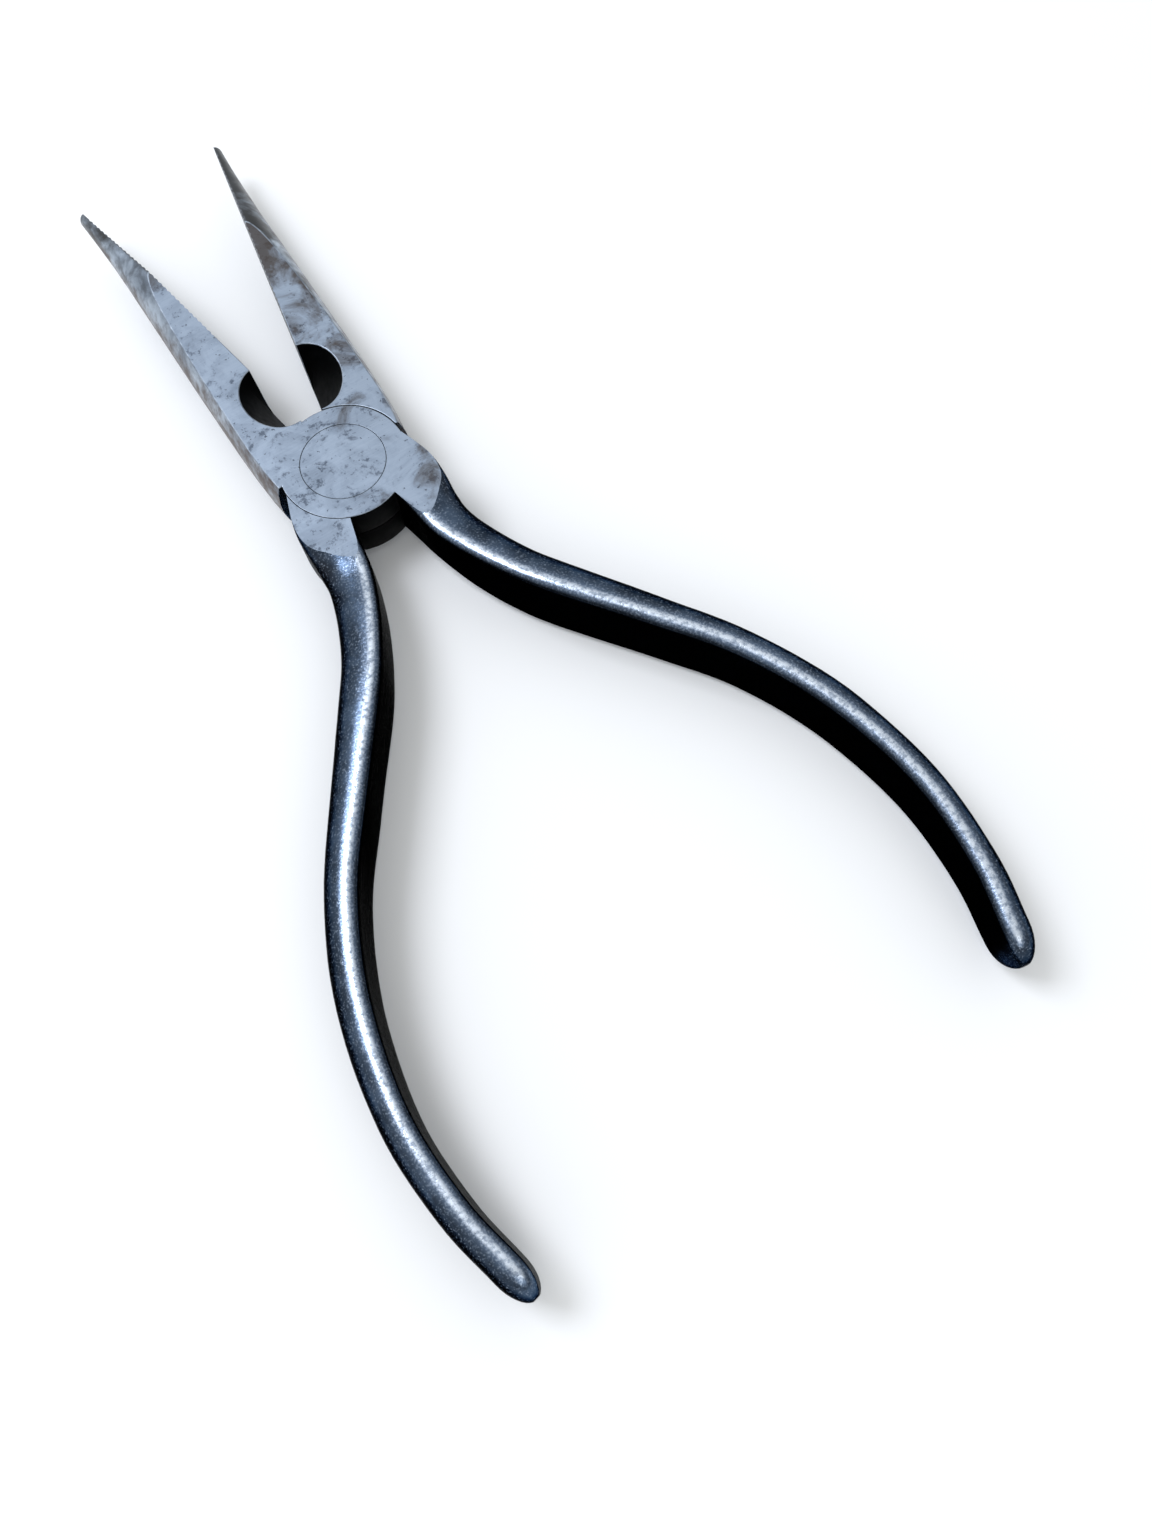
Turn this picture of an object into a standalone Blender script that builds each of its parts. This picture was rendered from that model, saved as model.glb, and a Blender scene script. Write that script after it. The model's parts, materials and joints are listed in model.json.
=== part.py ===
"""Long-nose pliers with side cutters: two forged levers lapped together on one flush rivet.

Millimetres throughout, turned into metres where each mesh is made. X runs across the handles,
Y from the rivet's axis towards the jaw tips, Z up through the front face. The back ground face
lies in Z = 0. Each lever is drawn closed, with its jaw face along the Y axis, and then turned
open about the rivet.
"""

import math

import bmesh
import bpy
from mathutils import Vector

MM = 0.001

# Overall sizes
JAW_LENGTH = 60.0
HANDLE_LENGTH = 101.6
JOINT_THICKNESS = 8.4
DISC_RADIUS = 8.3
REST_OPENING = 20.0

# Running clearances
JAW_CLEARANCE = 0.1
LAP_GAP = 0.3
DISC_CLEARANCE = 0.25
SHANK_CLEARANCE = 0.1
HEAD_CLEARANCE = 0.15

# Nose: a half cone with its flat side on the jaw face, cut off by the ground faces
TIP_WIDTH = 0.75
TIP_HALF_HEIGHT = 1.15
TIP_ROUNDING = 0.6
CONE_RISE = 0.168
ROOT_ABOVE_PIVOT = 2.5

# Gripping teeth across the jaw face
TOOTH_PITCH = 1.0
TOOTH_DEPTH = 0.2
TOOTH_LAND = 0.2
TEETH_ABOVE_SCOOP = 7.6
TEETH_TO_TIP = 2.0

# Side cutter: a scoop in the front face that slopes down to a cutting edge near the back face
SCOOP_ABOVE_DISC = 0.3
SCOOP_LENGTH = 10.8
SCOOP_DEPTH = 4.4
CUTTING_EDGE_LENGTH = 7.6
CUTTING_EDGE_LAND = 0.5

# Shoulder and handle
HANDLE_GAP = 3.4
SHOULDER_PROUD = 0.6
SHOULDER_CROWN = 1.5
CREST_SETBACK = 1.2
INNER_CORNER = 1.1
GRIP_BOW = 21.8
GRIP_WIDTH = 5.75
GRIP_THICKNESS = 10.8
END_ROUNDING = 4.2

# Rivet
RIVET_HEAD_RADIUS = 5.5
RIVET_SHANK_RADIUS = 3.2
RIVET_HEAD_EDGE = 0.5

HALF = JOINT_THICKNESS / 2
RECESS_RADIUS = DISC_RADIUS + DISC_CLEARANCE
SCOOP_CENTRE = DISC_RADIUS + SCOOP_ABOVE_DISC + SCOOP_LENGTH / 2
GRIP_SQUARENESS = 2.2

# How far a cutter reaches past the faces that it cuts, and the sides of the turned pieces
OVERCUT = 2.0
DISC_SIDES = 120
RIVET_SIDES = 72

# Nose outline: share of the jaw's length, and the half cone's width in disc radii
NOSE_OUTLINE = ((0.0, 1.09), (0.1, 1.07), (0.22, 0.965), (0.48, 0.665), (0.75, 0.34), (0.885, 0.18))

# Shoulder outline: distance below the pivot in disc radii, shares of how far the outer edge
# stands proud of the disc and the crown stands above the ground face, and squareness
SHOULDER_OUTLINE = (
    (-0.15, -1.5, 1.0, 8.0),
    (0.12, -0.4, 1.0, 8.0),
    (0.36, 0.15, 0.95, 8.0),
    (0.6, 0.7, 0.8, 8.0),
    (0.84, 1.0, 0.6, 8.0),
    (1.08, 0.6, 0.4, 7.0),
    (1.42, -0.3, 0.2, 3.0),
    (1.84, -0.8, -0.08, 2.3),
)

# Grip: shares of the way from the shoulder to the handle's end, of the bow, of the width and
# of the thickness
GRIP_PATH = (
    (0.061, 0.25, 1.03, 0.876),
    (0.129, 0.317, 1.0, 0.957),
    (0.193, 0.413, 0.99, 1.0),
    (0.325, 0.644, 0.9, 1.0),
    (0.462, 0.867, 0.81, 0.99),
    (0.612, 0.995, 0.785, 1.0),
    (0.773, 1.0, 0.73, 0.99),
    (0.907, 0.887, 0.705, 0.935),
    (1.0, 0.74, 0.69, 0.865),
)

SHOULDER_END = SHOULDER_OUTLINE[-1][0] * DISC_RADIUS


def clear_scene():
    for obj in list(bpy.data.objects):
        bpy.data.objects.remove(obj, do_unlink=True)


def material(name, colour, roughness, metallic=1.0):
    made = bpy.data.materials.new(name)
    made.use_nodes = True
    shader = made.node_tree.nodes["Principled BSDF"]
    shader.inputs["Base Color"].default_value = (*colour, 1.0)
    shader.inputs["Roughness"].default_value = roughness
    shader.inputs["Metallic"].default_value = metallic
    return made


def object_from(name, bm, parent=None):
    bmesh.ops.recalc_face_normals(bm, faces=bm.faces)
    mesh = bpy.data.meshes.new(name)
    bm.to_mesh(mesh)
    bm.free()
    obj = bpy.data.objects.new(name, mesh)
    bpy.context.scene.collection.objects.link(obj)
    obj.parent = parent
    return obj


def hide_helper(obj):
    obj.hide_render = True
    obj.display_type = "WIRE"


def boolean(obj, other, operation):
    modifier = obj.modifiers.new(other.name, "BOOLEAN")
    modifier.operation = operation
    modifier.object = other
    modifier.solver = "EXACT"


def add_ring(bm, points):
    return [bm.verts.new((x * MM, y * MM, z * MM)) for x, y, z in points]


def add_loft(bm, rings):
    """One closed body through rings that all have the same number of points."""
    placed = [add_ring(bm, ring) for ring in rings]
    for low, high in zip(placed, placed[1:]):
        for i in range(len(low)):
            j = (i + 1) % len(low)
            bm.faces.new((low[i], low[j], high[j], high[i]))
    bm.faces.new(placed[0][::-1])
    bm.faces.new(placed[-1])


def add_turned(bm, profile, segments):
    """One closed body turned about Z from (radius, z) points."""
    rings = []
    for radius, z in profile:
        angles = [2 * math.pi * i / segments for i in range(segments)]
        rings.append([(radius * math.cos(a), radius * math.sin(a), z) for a in angles])
    add_loft(bm, rings)


def add_box(bm, low, high):
    (x0, y0, z0), (x1, y1, z1) = low, high
    base = [(x0, y0), (x1, y0), (x1, y1), (x0, y1)]
    add_loft(bm, [[(x, y, z) for x, y in base] for z in (z0, z1)])


def spline(rows, steps):
    """A smooth curve through rows of numbers (Catmull-Rom), with a number of steps in each span."""
    rows = [tuple(map(float, row)) for row in rows]
    first = tuple(2 * a - b for a, b in zip(rows[0], rows[1]))
    last = tuple(2 * a - b for a, b in zip(rows[-1], rows[-2]))
    padded = [first, *rows, last]
    curve = []
    for i in range(1, len(padded) - 2):
        for k in range(steps):
            t = k / steps
            before, start, end, after = padded[i - 1 : i + 3]
            curve.append(
                tuple(
                    0.5 * (2 * p1 + (p2 - p0) * t + (2 * p0 - 5 * p1 + 4 * p2 - p3) * t**2
                           + (3 * p1 - 3 * p2 + p3 - p0) * t**3)
                    for p0, p1, p2, p3 in zip(before, start, end, after)
                )
            )
    curve.append(rows[-1])
    return curve


def nose_section(width, half_height):
    """Half an ellipse, flat side on the jaw face, from its front corner round to its back one."""
    count = 18
    points = []
    for i in range(count + 1):
        angle = math.pi / 2 - math.pi * i / count
        points.append((width * math.cos(angle), half_height * math.sin(angle)))
    return points


def nose_half_height(y):
    return TIP_HALF_HEIGHT + (JAW_LENGTH - y) * CONE_RISE


def nose_rings():
    body_end = JAW_LENGTH - TIP_ROUNDING
    rows = [(share * JAW_LENGTH, DISC_RADIUS * width) for share, width in NOSE_OUTLINE]
    rows.append((body_end, TIP_WIDTH))
    rows = [(y, width) for y, width in spline(rows, 4) if y > ROOT_ABOVE_PIVOT]
    rows.insert(0, (ROOT_ABOVE_PIVOT, DISC_RADIUS * NOSE_OUTLINE[0][1]))
    stations = [(y, width, nose_half_height(y)) for y, width in rows]
    for turn in (30, 60, 80):
        angle = math.radians(turn)
        shrink = math.cos(angle)
        stations.append((body_end + TIP_ROUNDING * math.sin(angle), TIP_WIDTH * shrink,
                         nose_half_height(body_end) * (0.25 + 0.75 * shrink)))
    return [
        [(JAW_CLEARANCE + u, y, z) for u, z in nose_section(width, half_height)]
        for y, width, half_height in stations
    ]


def handle_section(width, half_thickness, squareness):
    """A D: a flat inner face, a tight corner up to the crest, then one long round to the outside."""
    setback = min(CREST_SETBACK, 0.4 * width)
    corner = min(INNER_CORNER, 0.4 * half_thickness)
    front = []
    for i in range(4):
        angle = math.radians(30 * i)
        front.append((setback * (1 - math.cos(angle)), half_thickness - corner * (1 - math.sin(angle))))
    power = 2 / squareness
    for i in range(1, 10):
        angle = math.radians(10 * i)
        u = setback + (width - setback) * math.sin(angle) ** power
        z = half_thickness * max(math.cos(angle), 0.0) ** power
        front.append((u, z if i < 9 else 0.0))
    back = [(u, -z) for u, z in reversed(front[:-1])]
    return front + back


def handle_stations():
    """Centre x, centre y, width, half thickness and squareness along the handle."""
    inner = HANDLE_GAP / 2
    rows = []
    for below, proud, crown, squareness in SHOULDER_OUTLINE:
        edge = DISC_RADIUS + proud * SHOULDER_PROUD
        half_thickness = HALF + crown * SHOULDER_CROWN
        rows.append(((inner + edge) / 2, -below * DISC_RADIUS, edge - inner, half_thickness, squareness))
    grip_length = HANDLE_LENGTH - END_ROUNDING - SHOULDER_END
    for share, bow, width, thickness in GRIP_PATH:
        y = -SHOULDER_END - share * grip_length
        rows.append((bow * GRIP_BOW, y, width * GRIP_WIDTH, thickness * GRIP_THICKNESS / 2, GRIP_SQUARENESS))
    return spline(rows, 3)


def handle_rings():
    stations = handle_stations()
    rings = []
    for i, (x, y, width, half_thickness, squareness) in enumerate(stations):
        before = stations[max(i - 1, 0)]
        after = stations[min(i + 1, len(stations) - 1)]
        along = Vector((after[0] - before[0], after[1] - before[1])).normalized()
        outward = Vector((-along.y, along.x))
        section = handle_section(width, half_thickness, squareness)
        rings.append(
            [(x + outward.x * (u - width / 2), y + outward.y * (u - width / 2), z) for u, z in section]
        )
    for turn in (20, 40, 58, 74):
        angle = math.radians(turn)
        shrink = math.cos(angle)
        reach = END_ROUNDING * math.sin(angle)
        rings.append(
            [
                (
                    x + along.x * reach + outward.x * (u - width / 2) * shrink,
                    y + along.y * reach + outward.y * (u - width / 2) * shrink,
                    z * shrink,
                )
                for u, z in section
            ]
        )
    return rings


def scoop_rings():
    """From an ellipse above the front face down to the straight cutting edge."""
    count = 40
    edge_height = -HALF + CUTTING_EDGE_LAND
    reach = (HALF + OVERCUT - edge_height) / (HALF - edge_height)
    rings = []
    for depth, length, z in (
        (0.02, CUTTING_EDGE_LENGTH, edge_height),
        (
            SCOOP_DEPTH * reach,
            CUTTING_EDGE_LENGTH + (SCOOP_LENGTH - CUTTING_EDGE_LENGTH) * reach,
            HALF + OVERCUT,
        ),
    ):
        angles = [2 * math.pi * i / count for i in range(count)]
        rings.append([(depth * math.cos(a), SCOOP_CENTRE + length / 2 * math.sin(a), z) for a in angles])
    return rings


def add_teeth(bm):
    """A comb with a V for each groove between two teeth, drawn through the jaw face."""
    start = SCOOP_CENTRE + SCOOP_LENGTH / 2 + TEETH_ABOVE_SCOOP
    count = round((JAW_LENGTH - TEETH_TO_TIP - start) / TOOTH_PITCH)
    half_groove = (TOOTH_PITCH - TOOTH_LAND) / 2
    spread = half_groove * (TOOTH_DEPTH + JAW_CLEARANCE / 2) / TOOTH_DEPTH
    outline = [(-OVERCUT, start)]
    for i in range(count):
        y = start + TOOTH_PITCH * (i + 0.5)
        outline.append((JAW_CLEARANCE / 2, y - spread))
        outline.append((JAW_CLEARANCE + TOOTH_DEPTH, y))
        outline.append((JAW_CLEARANCE / 2, y + spread))
    outline.append((-OVERCUT, start + count * TOOTH_PITCH))
    add_loft(bm, [[(x, y, z) for x, y in outline] for z in (-HALF - OVERCUT, HALF + OVERCUT)])


def add_rivet_profile(bm, clearance_head, clearance_shank, overcut):
    """Flush heads that taper down at 45 degrees to the shank."""
    head = RIVET_HEAD_RADIUS + clearance_head
    shank = RIVET_SHANK_RADIUS + clearance_shank
    edge = HALF - RIVET_HEAD_EDGE
    taper_end = edge - (head - shank)
    add_turned(
        bm,
        [
            (head, -HALF - overcut),
            (head, -edge),
            (shank, -taper_end),
            (shank, taper_end),
            (head, edge),
            (head, HALF + overcut),
        ],
        RIVET_SIDES,
    )


def flip_x(bm):
    for vert in bm.verts:
        vert.co.x = -vert.co.x


def helper(name, owner, build, mirror):
    bm = bmesh.new()
    build(bm)
    if mirror:
        flip_x(bm)
    obj = object_from(name, bm, owner)
    hide_helper(obj)
    return obj


def grinding_slabs(bm):
    """Everything that the two ground faces cut off, from the shoulders to the jaw tips."""
    reach = DISC_RADIUS * 2
    low_y = -SHOULDER_END
    for low_z, high_z in ((-HALF - 4 * OVERCUT, -HALF), (HALF, HALF + 4 * OVERCUT)):
        add_box(bm, (-reach, low_y, low_z), (reach, JAW_LENGTH + OVERCUT, high_z))


def lever(name, jaw_side, lap_side, finish, pivot):
    """jaw_side is -1 for the jaw on the left, lap_side +1 for the half disc in front."""
    body = bmesh.new()
    add_loft(body, handle_rings())
    if jaw_side > 0:
        flip_x(body)
    obj = object_from(name, body, pivot)
    obj.rotation_euler.z = -jaw_side * math.radians(REST_OPENING / 2)
    obj.data.materials.append(finish)

    def nose(bm):
        add_loft(bm, nose_rings())

    def disc(bm):
        add_turned(bm, [(DISC_RADIUS, -HALF - OVERCUT), (DISC_RADIUS, HALF + OVERCUT)], DISC_SIDES)

    def recess(bm):
        far = -lap_side * (HALF + OVERCUT)
        near = lap_side * LAP_GAP / 2
        add_turned(bm, [(RECESS_RADIUS, min(far, near)), (RECESS_RADIUS, max(far, near))], DISC_SIDES)

    def rivet_hole(bm):
        add_rivet_profile(bm, HEAD_CLEARANCE, SHANK_CLEARANCE, OVERCUT)

    def scoop(bm):
        add_loft(bm, scoop_rings())

    mirror_jaw = jaw_side < 0
    for part, build, mirror, operation in (
        ("nose", nose, mirror_jaw, "UNION"),
        ("disc", disc, False, "UNION"),
        ("ground_faces", grinding_slabs, False, "DIFFERENCE"),
        ("lap_recess", recess, False, "DIFFERENCE"),
        ("rivet_hole", rivet_hole, False, "DIFFERENCE"),
        ("cutter_scoop", scoop, mirror_jaw, "DIFFERENCE"),
        ("teeth", add_teeth, mirror_jaw, "DIFFERENCE"),
    ):
        boolean(obj, helper(f"{name}_{part}", obj, build, mirror), operation)
    return obj


def rivet(finish, pivot):
    bm = bmesh.new()
    add_rivet_profile(bm, 0.0, 0.0, 0.0)
    obj = object_from("pivot_rivet", bm, pivot)
    obj.data.materials.append(finish)
    return obj


def smooth(obj):
    for polygon in obj.data.polygons:
        polygon.use_smooth = True
    obj.data.set_sharp_from_angle(angle=math.radians(30))


def main():
    clear_scene()
    pivot = bpy.data.objects.new("pivot_axis", None)
    pivot.location.z = HALF * MM
    bpy.context.scene.collection.objects.link(pivot)
    forged = material("black_oxide_steel", (0.045, 0.05, 0.06), 0.4)
    ground = material("ground_steel", (0.5, 0.52, 0.55), 0.35)
    for obj in (
        lever("front_lever", -1, 1, forged, pivot),
        lever("back_lever", 1, -1, forged, pivot),
        rivet(ground, pivot),
    ):
        smooth(obj)


main()
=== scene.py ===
import json
import math

import bmesh
import bpy
import numpy as np
from mathutils import Matrix, Vector, noise


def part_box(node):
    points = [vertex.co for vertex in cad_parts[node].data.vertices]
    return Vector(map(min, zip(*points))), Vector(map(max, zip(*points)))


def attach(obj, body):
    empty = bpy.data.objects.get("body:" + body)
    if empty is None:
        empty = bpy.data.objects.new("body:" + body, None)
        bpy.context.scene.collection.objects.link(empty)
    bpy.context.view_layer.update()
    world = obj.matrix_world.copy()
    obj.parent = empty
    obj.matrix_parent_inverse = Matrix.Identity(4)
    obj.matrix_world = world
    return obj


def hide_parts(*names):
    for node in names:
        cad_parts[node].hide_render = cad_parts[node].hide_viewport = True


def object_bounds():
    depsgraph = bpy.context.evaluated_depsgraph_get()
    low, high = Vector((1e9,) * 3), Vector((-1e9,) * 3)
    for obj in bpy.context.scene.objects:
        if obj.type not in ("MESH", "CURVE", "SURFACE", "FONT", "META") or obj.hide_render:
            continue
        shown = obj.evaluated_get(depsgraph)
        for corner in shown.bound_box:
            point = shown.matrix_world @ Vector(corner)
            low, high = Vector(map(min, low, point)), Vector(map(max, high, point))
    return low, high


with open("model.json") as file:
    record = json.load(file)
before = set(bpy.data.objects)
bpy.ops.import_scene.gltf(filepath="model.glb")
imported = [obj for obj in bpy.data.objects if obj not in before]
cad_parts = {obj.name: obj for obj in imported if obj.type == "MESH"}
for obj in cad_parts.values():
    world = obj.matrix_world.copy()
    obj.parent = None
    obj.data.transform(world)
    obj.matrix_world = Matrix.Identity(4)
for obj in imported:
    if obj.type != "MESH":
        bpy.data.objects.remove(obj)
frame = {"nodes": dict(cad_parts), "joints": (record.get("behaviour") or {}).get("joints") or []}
cadLow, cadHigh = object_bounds()
print("frame loaded:", ", ".join(sorted(frame["nodes"])))

mm = 0.001

# The levers are built in millimetres, closed, round the rivet's centre, then turned open and scaled
joint = frame["joints"][0]
restTurn = -math.radians(joint["range_deg"][0]) / 2
rivetLow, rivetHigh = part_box("pivot_rivet")
halfThickness = (rivetHigh.z - rivetLow.z) / 2 / mm


def closedSpan(node, turn):
    # lowest and highest Y of a lever once its jaw is turned back onto the Y axis, in millimetres
    back = Matrix.Rotation(-turn, 3, "Z")
    along = [(back @ vertex.co).y / mm for vertex in frame["nodes"][node].data.vertices]
    return min(along), max(along)


handleEnd, jawEnd = closedSpan("front_lever", restTurn)


def linearColor(hexText):
    # sRGB hex to the linear numbers that the shader sockets take
    parts = [int(hexText[i : i + 2], 16) / 255 for i in (1, 3, 5)]
    return [p / 12.92 if p <= 0.04045 else ((p + 0.055) / 1.055) ** 2.4 for p in parts] + [1.0]


def addNode(tree, kind, links=None, **settings):
    # one node: settings are its own properties, links its inputs, each another node, a socket or a value
    node = tree.nodes.new("ShaderNode" + kind)
    for key, value in settings.items():
        setattr(node, key, value)
    for key, value in (links or {}).items():
        if isinstance(value, bpy.types.Node):
            value = next(socket for socket in value.outputs if socket.enabled)
        if isinstance(value, bpy.types.NodeSocket):
            tree.links.new(value, node.inputs[key])
        else:
            node.inputs[key].default_value = linearColor(value) if isinstance(value, str) else value
    return node


def newMaterial(name, metallic):
    made = bpy.data.materials.new(name)
    made.use_nodes = True
    tree = made.node_tree
    tree.nodes["Principled BSDF"].inputs["Metallic"].default_value = metallic
    place = addNode(tree, "TexCoord").outputs["Object"]
    return made, tree, addNode(tree, "VectorMath", {0: place, "Scale": 1 / mm}, operation="SCALE")


def finishMaterial(tree, color, roughness, height, bumpMm, strength):
    shader = tree.nodes["Principled BSDF"]
    bump = addNode(tree, "Bump", {"Strength": strength, "Distance": bumpMm * mm, "Height": height})
    for key, node in (("Base Color", color), ("Roughness", roughness), ("Normal", bump)):
        tree.links.new(next(socket for socket in node.outputs if socket.enabled), shader.inputs[key])


lever = {
    # shares of the jaw's length, and of the disc's radius
    "noseOutline": ((0.0, 1.09), (0.1, 1.07), (0.22, 0.965), (0.48, 0.665), (0.75, 0.34), (0.885, 0.195)),
    "tipWidth": 0.95,
    "tipHalfHeight": 1.15,
    "tipRounding": 0.6,
    # share of the tip's height that is left at its very end
    "tipBlunt": 0.25,
    "coneRise": 0.168,
    "rootAbovePivot": 2.5,
    "jawClearance": 0.1,
    "noseSides": 36,
    "noseSteps": 9,
    # the lap joint
    "discRadius": 8.3,
    "discSides": 180,
    "discClearance": 0.1,
    "lapGap": 0.1,
    "handleGap": 3.4,
    # distance below the pivot in disc radii, how proud of the disc, how far the crown stands, squareness
    "shoulderOutline": (
        (-0.15, -1.5, 1.0, 8.0),
        (0.12, -0.4, 1.0, 8.0),
        (0.36, 0.15, 0.95, 8.0),
        (0.6, 0.7, 0.8, 8.0),
        (0.84, 1.0, 0.6, 8.0),
        (1.08, 0.6, 0.4, 7.0),
        (1.42, -0.3, 0.2, 3.0),
        (1.84, -0.8, -0.08, 2.3),
    ),
    "shoulderProud": 0.6,
    "shoulderCrown": 1.5,
    # the grip: shares of its length, bow, width and thickness
    "gripPath": (
        (0.061, 0.25, 1.03, 0.876),
        (0.129, 0.317, 1.0, 0.957),
        (0.193, 0.413, 0.99, 1.0),
        (0.325, 0.644, 0.9, 1.0),
        (0.462, 0.867, 0.81, 0.99),
        (0.612, 0.995, 0.785, 1.0),
        (0.773, 1.0, 0.73, 0.99),
        (0.907, 0.887, 0.705, 0.935),
        (1.0, 0.74, 0.69, 0.865),
    ),
    "gripBow": 21.8,
    "gripWidth": 5.75,
    "gripThickness": 10.8,
    "gripSquareness": 2.2,
    "crestSetback": 1.2,
    "innerCorner": 1.1,
    # the largest share of the section that the setback or the corner takes
    "mostCorner": 0.4,
    "endRounding": 4.2,
    "handleSteps": 7,
    # hand-ground and hammered unevenness: height, sinking into the skin, and spacing
    "waveHeight": 0.05,
    "waveSink": 0.4,
    "waveLength": 7.0,
    "hammerHeight": 0.018,
    "hammerLength": 2.2,
    "edgeRound": 0.1,
}
cutter = {
    "aboveDisc": 0.3,
    "length": 10.8,
    "depth": 4.4,
    "edgeLength": 7.6,
    "edgeLand": 0.5,
    "edgeWidth": 0.02,
    "sides": 96,
}
teeth = {"pitch": 1.0, "depth": 0.12, "land": 0.2, "aboveScoop": 7.6, "toTip": 2.0}
rivet = {
    "headRadius": (rivetHigh.x - rivetLow.x) / 2 / mm,
    "shankRadius": 3.2,
    "headEdge": 0.5,
    "headClearance": 0.05,
    "shankClearance": 0.1,
    "edgeRound": 0.05,
    "sides": 144,
}
overcut = 2.0
scoopCentre = lever["discRadius"] + cutter["aboveDisc"] + cutter["length"] / 2
teethStart = scoopCentre + cutter["length"] / 2 + teeth["aboveScoop"]
shoulderEnd = lever["shoulderOutline"][-1][0] * lever["discRadius"]


def smoothRows(rows, steps):
    # a smooth curve through rows of numbers (Catmull-Rom)
    rows = [np.array(row, float) for row in rows]
    padded = [2 * rows[0] - rows[1], *rows, 2 * rows[-1] - rows[-2]]
    curve = []
    for p0, p1, p2, p3 in zip(padded, padded[1:], padded[2:], padded[3:]):
        for k in range(steps):
            t = k / steps
            rise = (p2 - p0) * t + (2 * p0 - 5 * p1 + 4 * p2 - p3) * t**2
            curve.append(0.5 * (2 * p1 + rise + (3 * p1 - 3 * p2 + p3 - p0) * t**3))
    return curve + [rows[-1]]


def meshObject(name, rings):
    # one closed body through rings that have the same number of points
    bm = bmesh.new()
    placed = [[bm.verts.new(point) for point in ring] for ring in rings]
    for low, high in zip(placed, placed[1:]):
        for i in range(len(low)):
            j = (i + 1) % len(low)
            bm.faces.new((low[i], low[j], high[j], high[i]))
    bm.faces.new(placed[0][::-1])
    bm.faces.new(placed[-1])
    bmesh.ops.recalc_face_normals(bm, faces=bm.faces)
    mesh = bpy.data.meshes.new(name)
    bm.to_mesh(mesh)
    bm.free()
    made = bpy.data.objects.new(name, mesh)
    bpy.context.scene.collection.objects.link(made)
    return made


def turnedRings(profile, sides):
    angles = [2 * math.pi * i / sides for i in range(sides)]
    return [[(r * math.cos(a), r * math.sin(a), z) for a in angles] for r, z in profile]


def carve(piece, tool, operation):
    # a Boolean on closed bodies, applied at once; the tool is used up
    cut = piece.modifiers.new("carve", "BOOLEAN")
    cut.operation = operation
    # the exact solver empties a lever whose skin is uneven
    cut.solver = "MANIFOLD"
    cut.object = tool
    graph = bpy.context.evaluated_depsgraph_get()
    mesh = bpy.data.meshes.new_from_object(piece.evaluated_get(graph))
    piece.modifiers.clear()
    piece.data = mesh
    bpy.data.objects.remove(tool)


def noseRings(side):
    bodyEnd = jawEnd - lever["tipRounding"]
    rows = [(share * jawEnd, lever["discRadius"] * width) for share, width in lever["noseOutline"]]
    rows.append((bodyEnd, lever["tipWidth"]))
    root = lever["rootAbovePivot"]
    rows = [(y, width) for y, width in smoothRows(rows, lever["noseSteps"]) if y > root]
    rows.insert(0, (root, lever["discRadius"] * lever["noseOutline"][0][1]))
    stations = [(y, width, lever["tipHalfHeight"] + (jawEnd - y) * lever["coneRise"]) for y, width in rows]
    endHeight = lever["tipHalfHeight"] + lever["tipRounding"] * lever["coneRise"]
    for turn in (15, 30, 45, 60, 72, 82):
        angle = math.radians(turn)
        shrink = math.cos(angle)
        reach = bodyEnd + lever["tipRounding"] * math.sin(angle)
        height = endHeight * (lever["tipBlunt"] + (1 - lever["tipBlunt"]) * shrink)
        stations.append((reach, lever["tipWidth"] * shrink, height))
    rings = []
    for y, width, halfHeight in stations:
        ring = []
        for i in range(lever["noseSides"] + 1):
            angle = math.pi / 2 - math.pi * i / lever["noseSides"]
            u = lever["jawClearance"] + width * math.cos(angle)
            ring.append((side * u, y, halfHeight * math.sin(angle)))
        rings.append(ring)
    return rings


def handleSection(width, halfHeight, squareness):
    # a D: flat inner face, tight corner up to the crest, one long round to the outside
    setback = min(lever["crestSetback"], lever["mostCorner"] * width)
    corner = min(lever["innerCorner"], lever["mostCorner"] * halfHeight)
    flatSteps, cornerSteps, roundSteps = 4, 8, 20
    front = [(0.0, (halfHeight - corner) * i / flatSteps) for i in range(flatSteps)]
    for i in range(cornerSteps):
        angle = math.radians(90 * i / cornerSteps)
        front.append((setback * (1 - math.cos(angle)), halfHeight - corner * (1 - math.sin(angle))))
    power = 2 / squareness
    for i in range(roundSteps + 1):
        angle = math.radians(90 * i / roundSteps)
        rise = max(math.cos(angle), 0.0) ** power if i < roundSteps else 0.0
        front.append((setback + (width - setback) * math.sin(angle) ** power, halfHeight * rise))
    return front + [(u, -z) for u, z in front[-2:0:-1]]


def handleStations():
    # centre X, centre Y, width, half thickness and squareness
    inner = lever["handleGap"] / 2
    rows = []
    for below, proud, crown, squareness in lever["shoulderOutline"]:
        edge = lever["discRadius"] + proud * lever["shoulderProud"]
        halfHeight = halfThickness + crown * lever["shoulderCrown"]
        y = -below * lever["discRadius"]
        rows.append(((inner + edge) / 2, y, edge - inner, halfHeight, squareness))
    gripLength = -handleEnd - lever["endRounding"] - shoulderEnd
    for share, bow, width, thickness in lever["gripPath"]:
        y = -shoulderEnd - share * gripLength
        halfHeight = thickness * lever["gripThickness"] / 2
        squareness = lever["gripSquareness"]
        rows.append((bow * lever["gripBow"], y, width * lever["gripWidth"], halfHeight, squareness))
    return smoothRows(rows, lever["handleSteps"])


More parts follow.
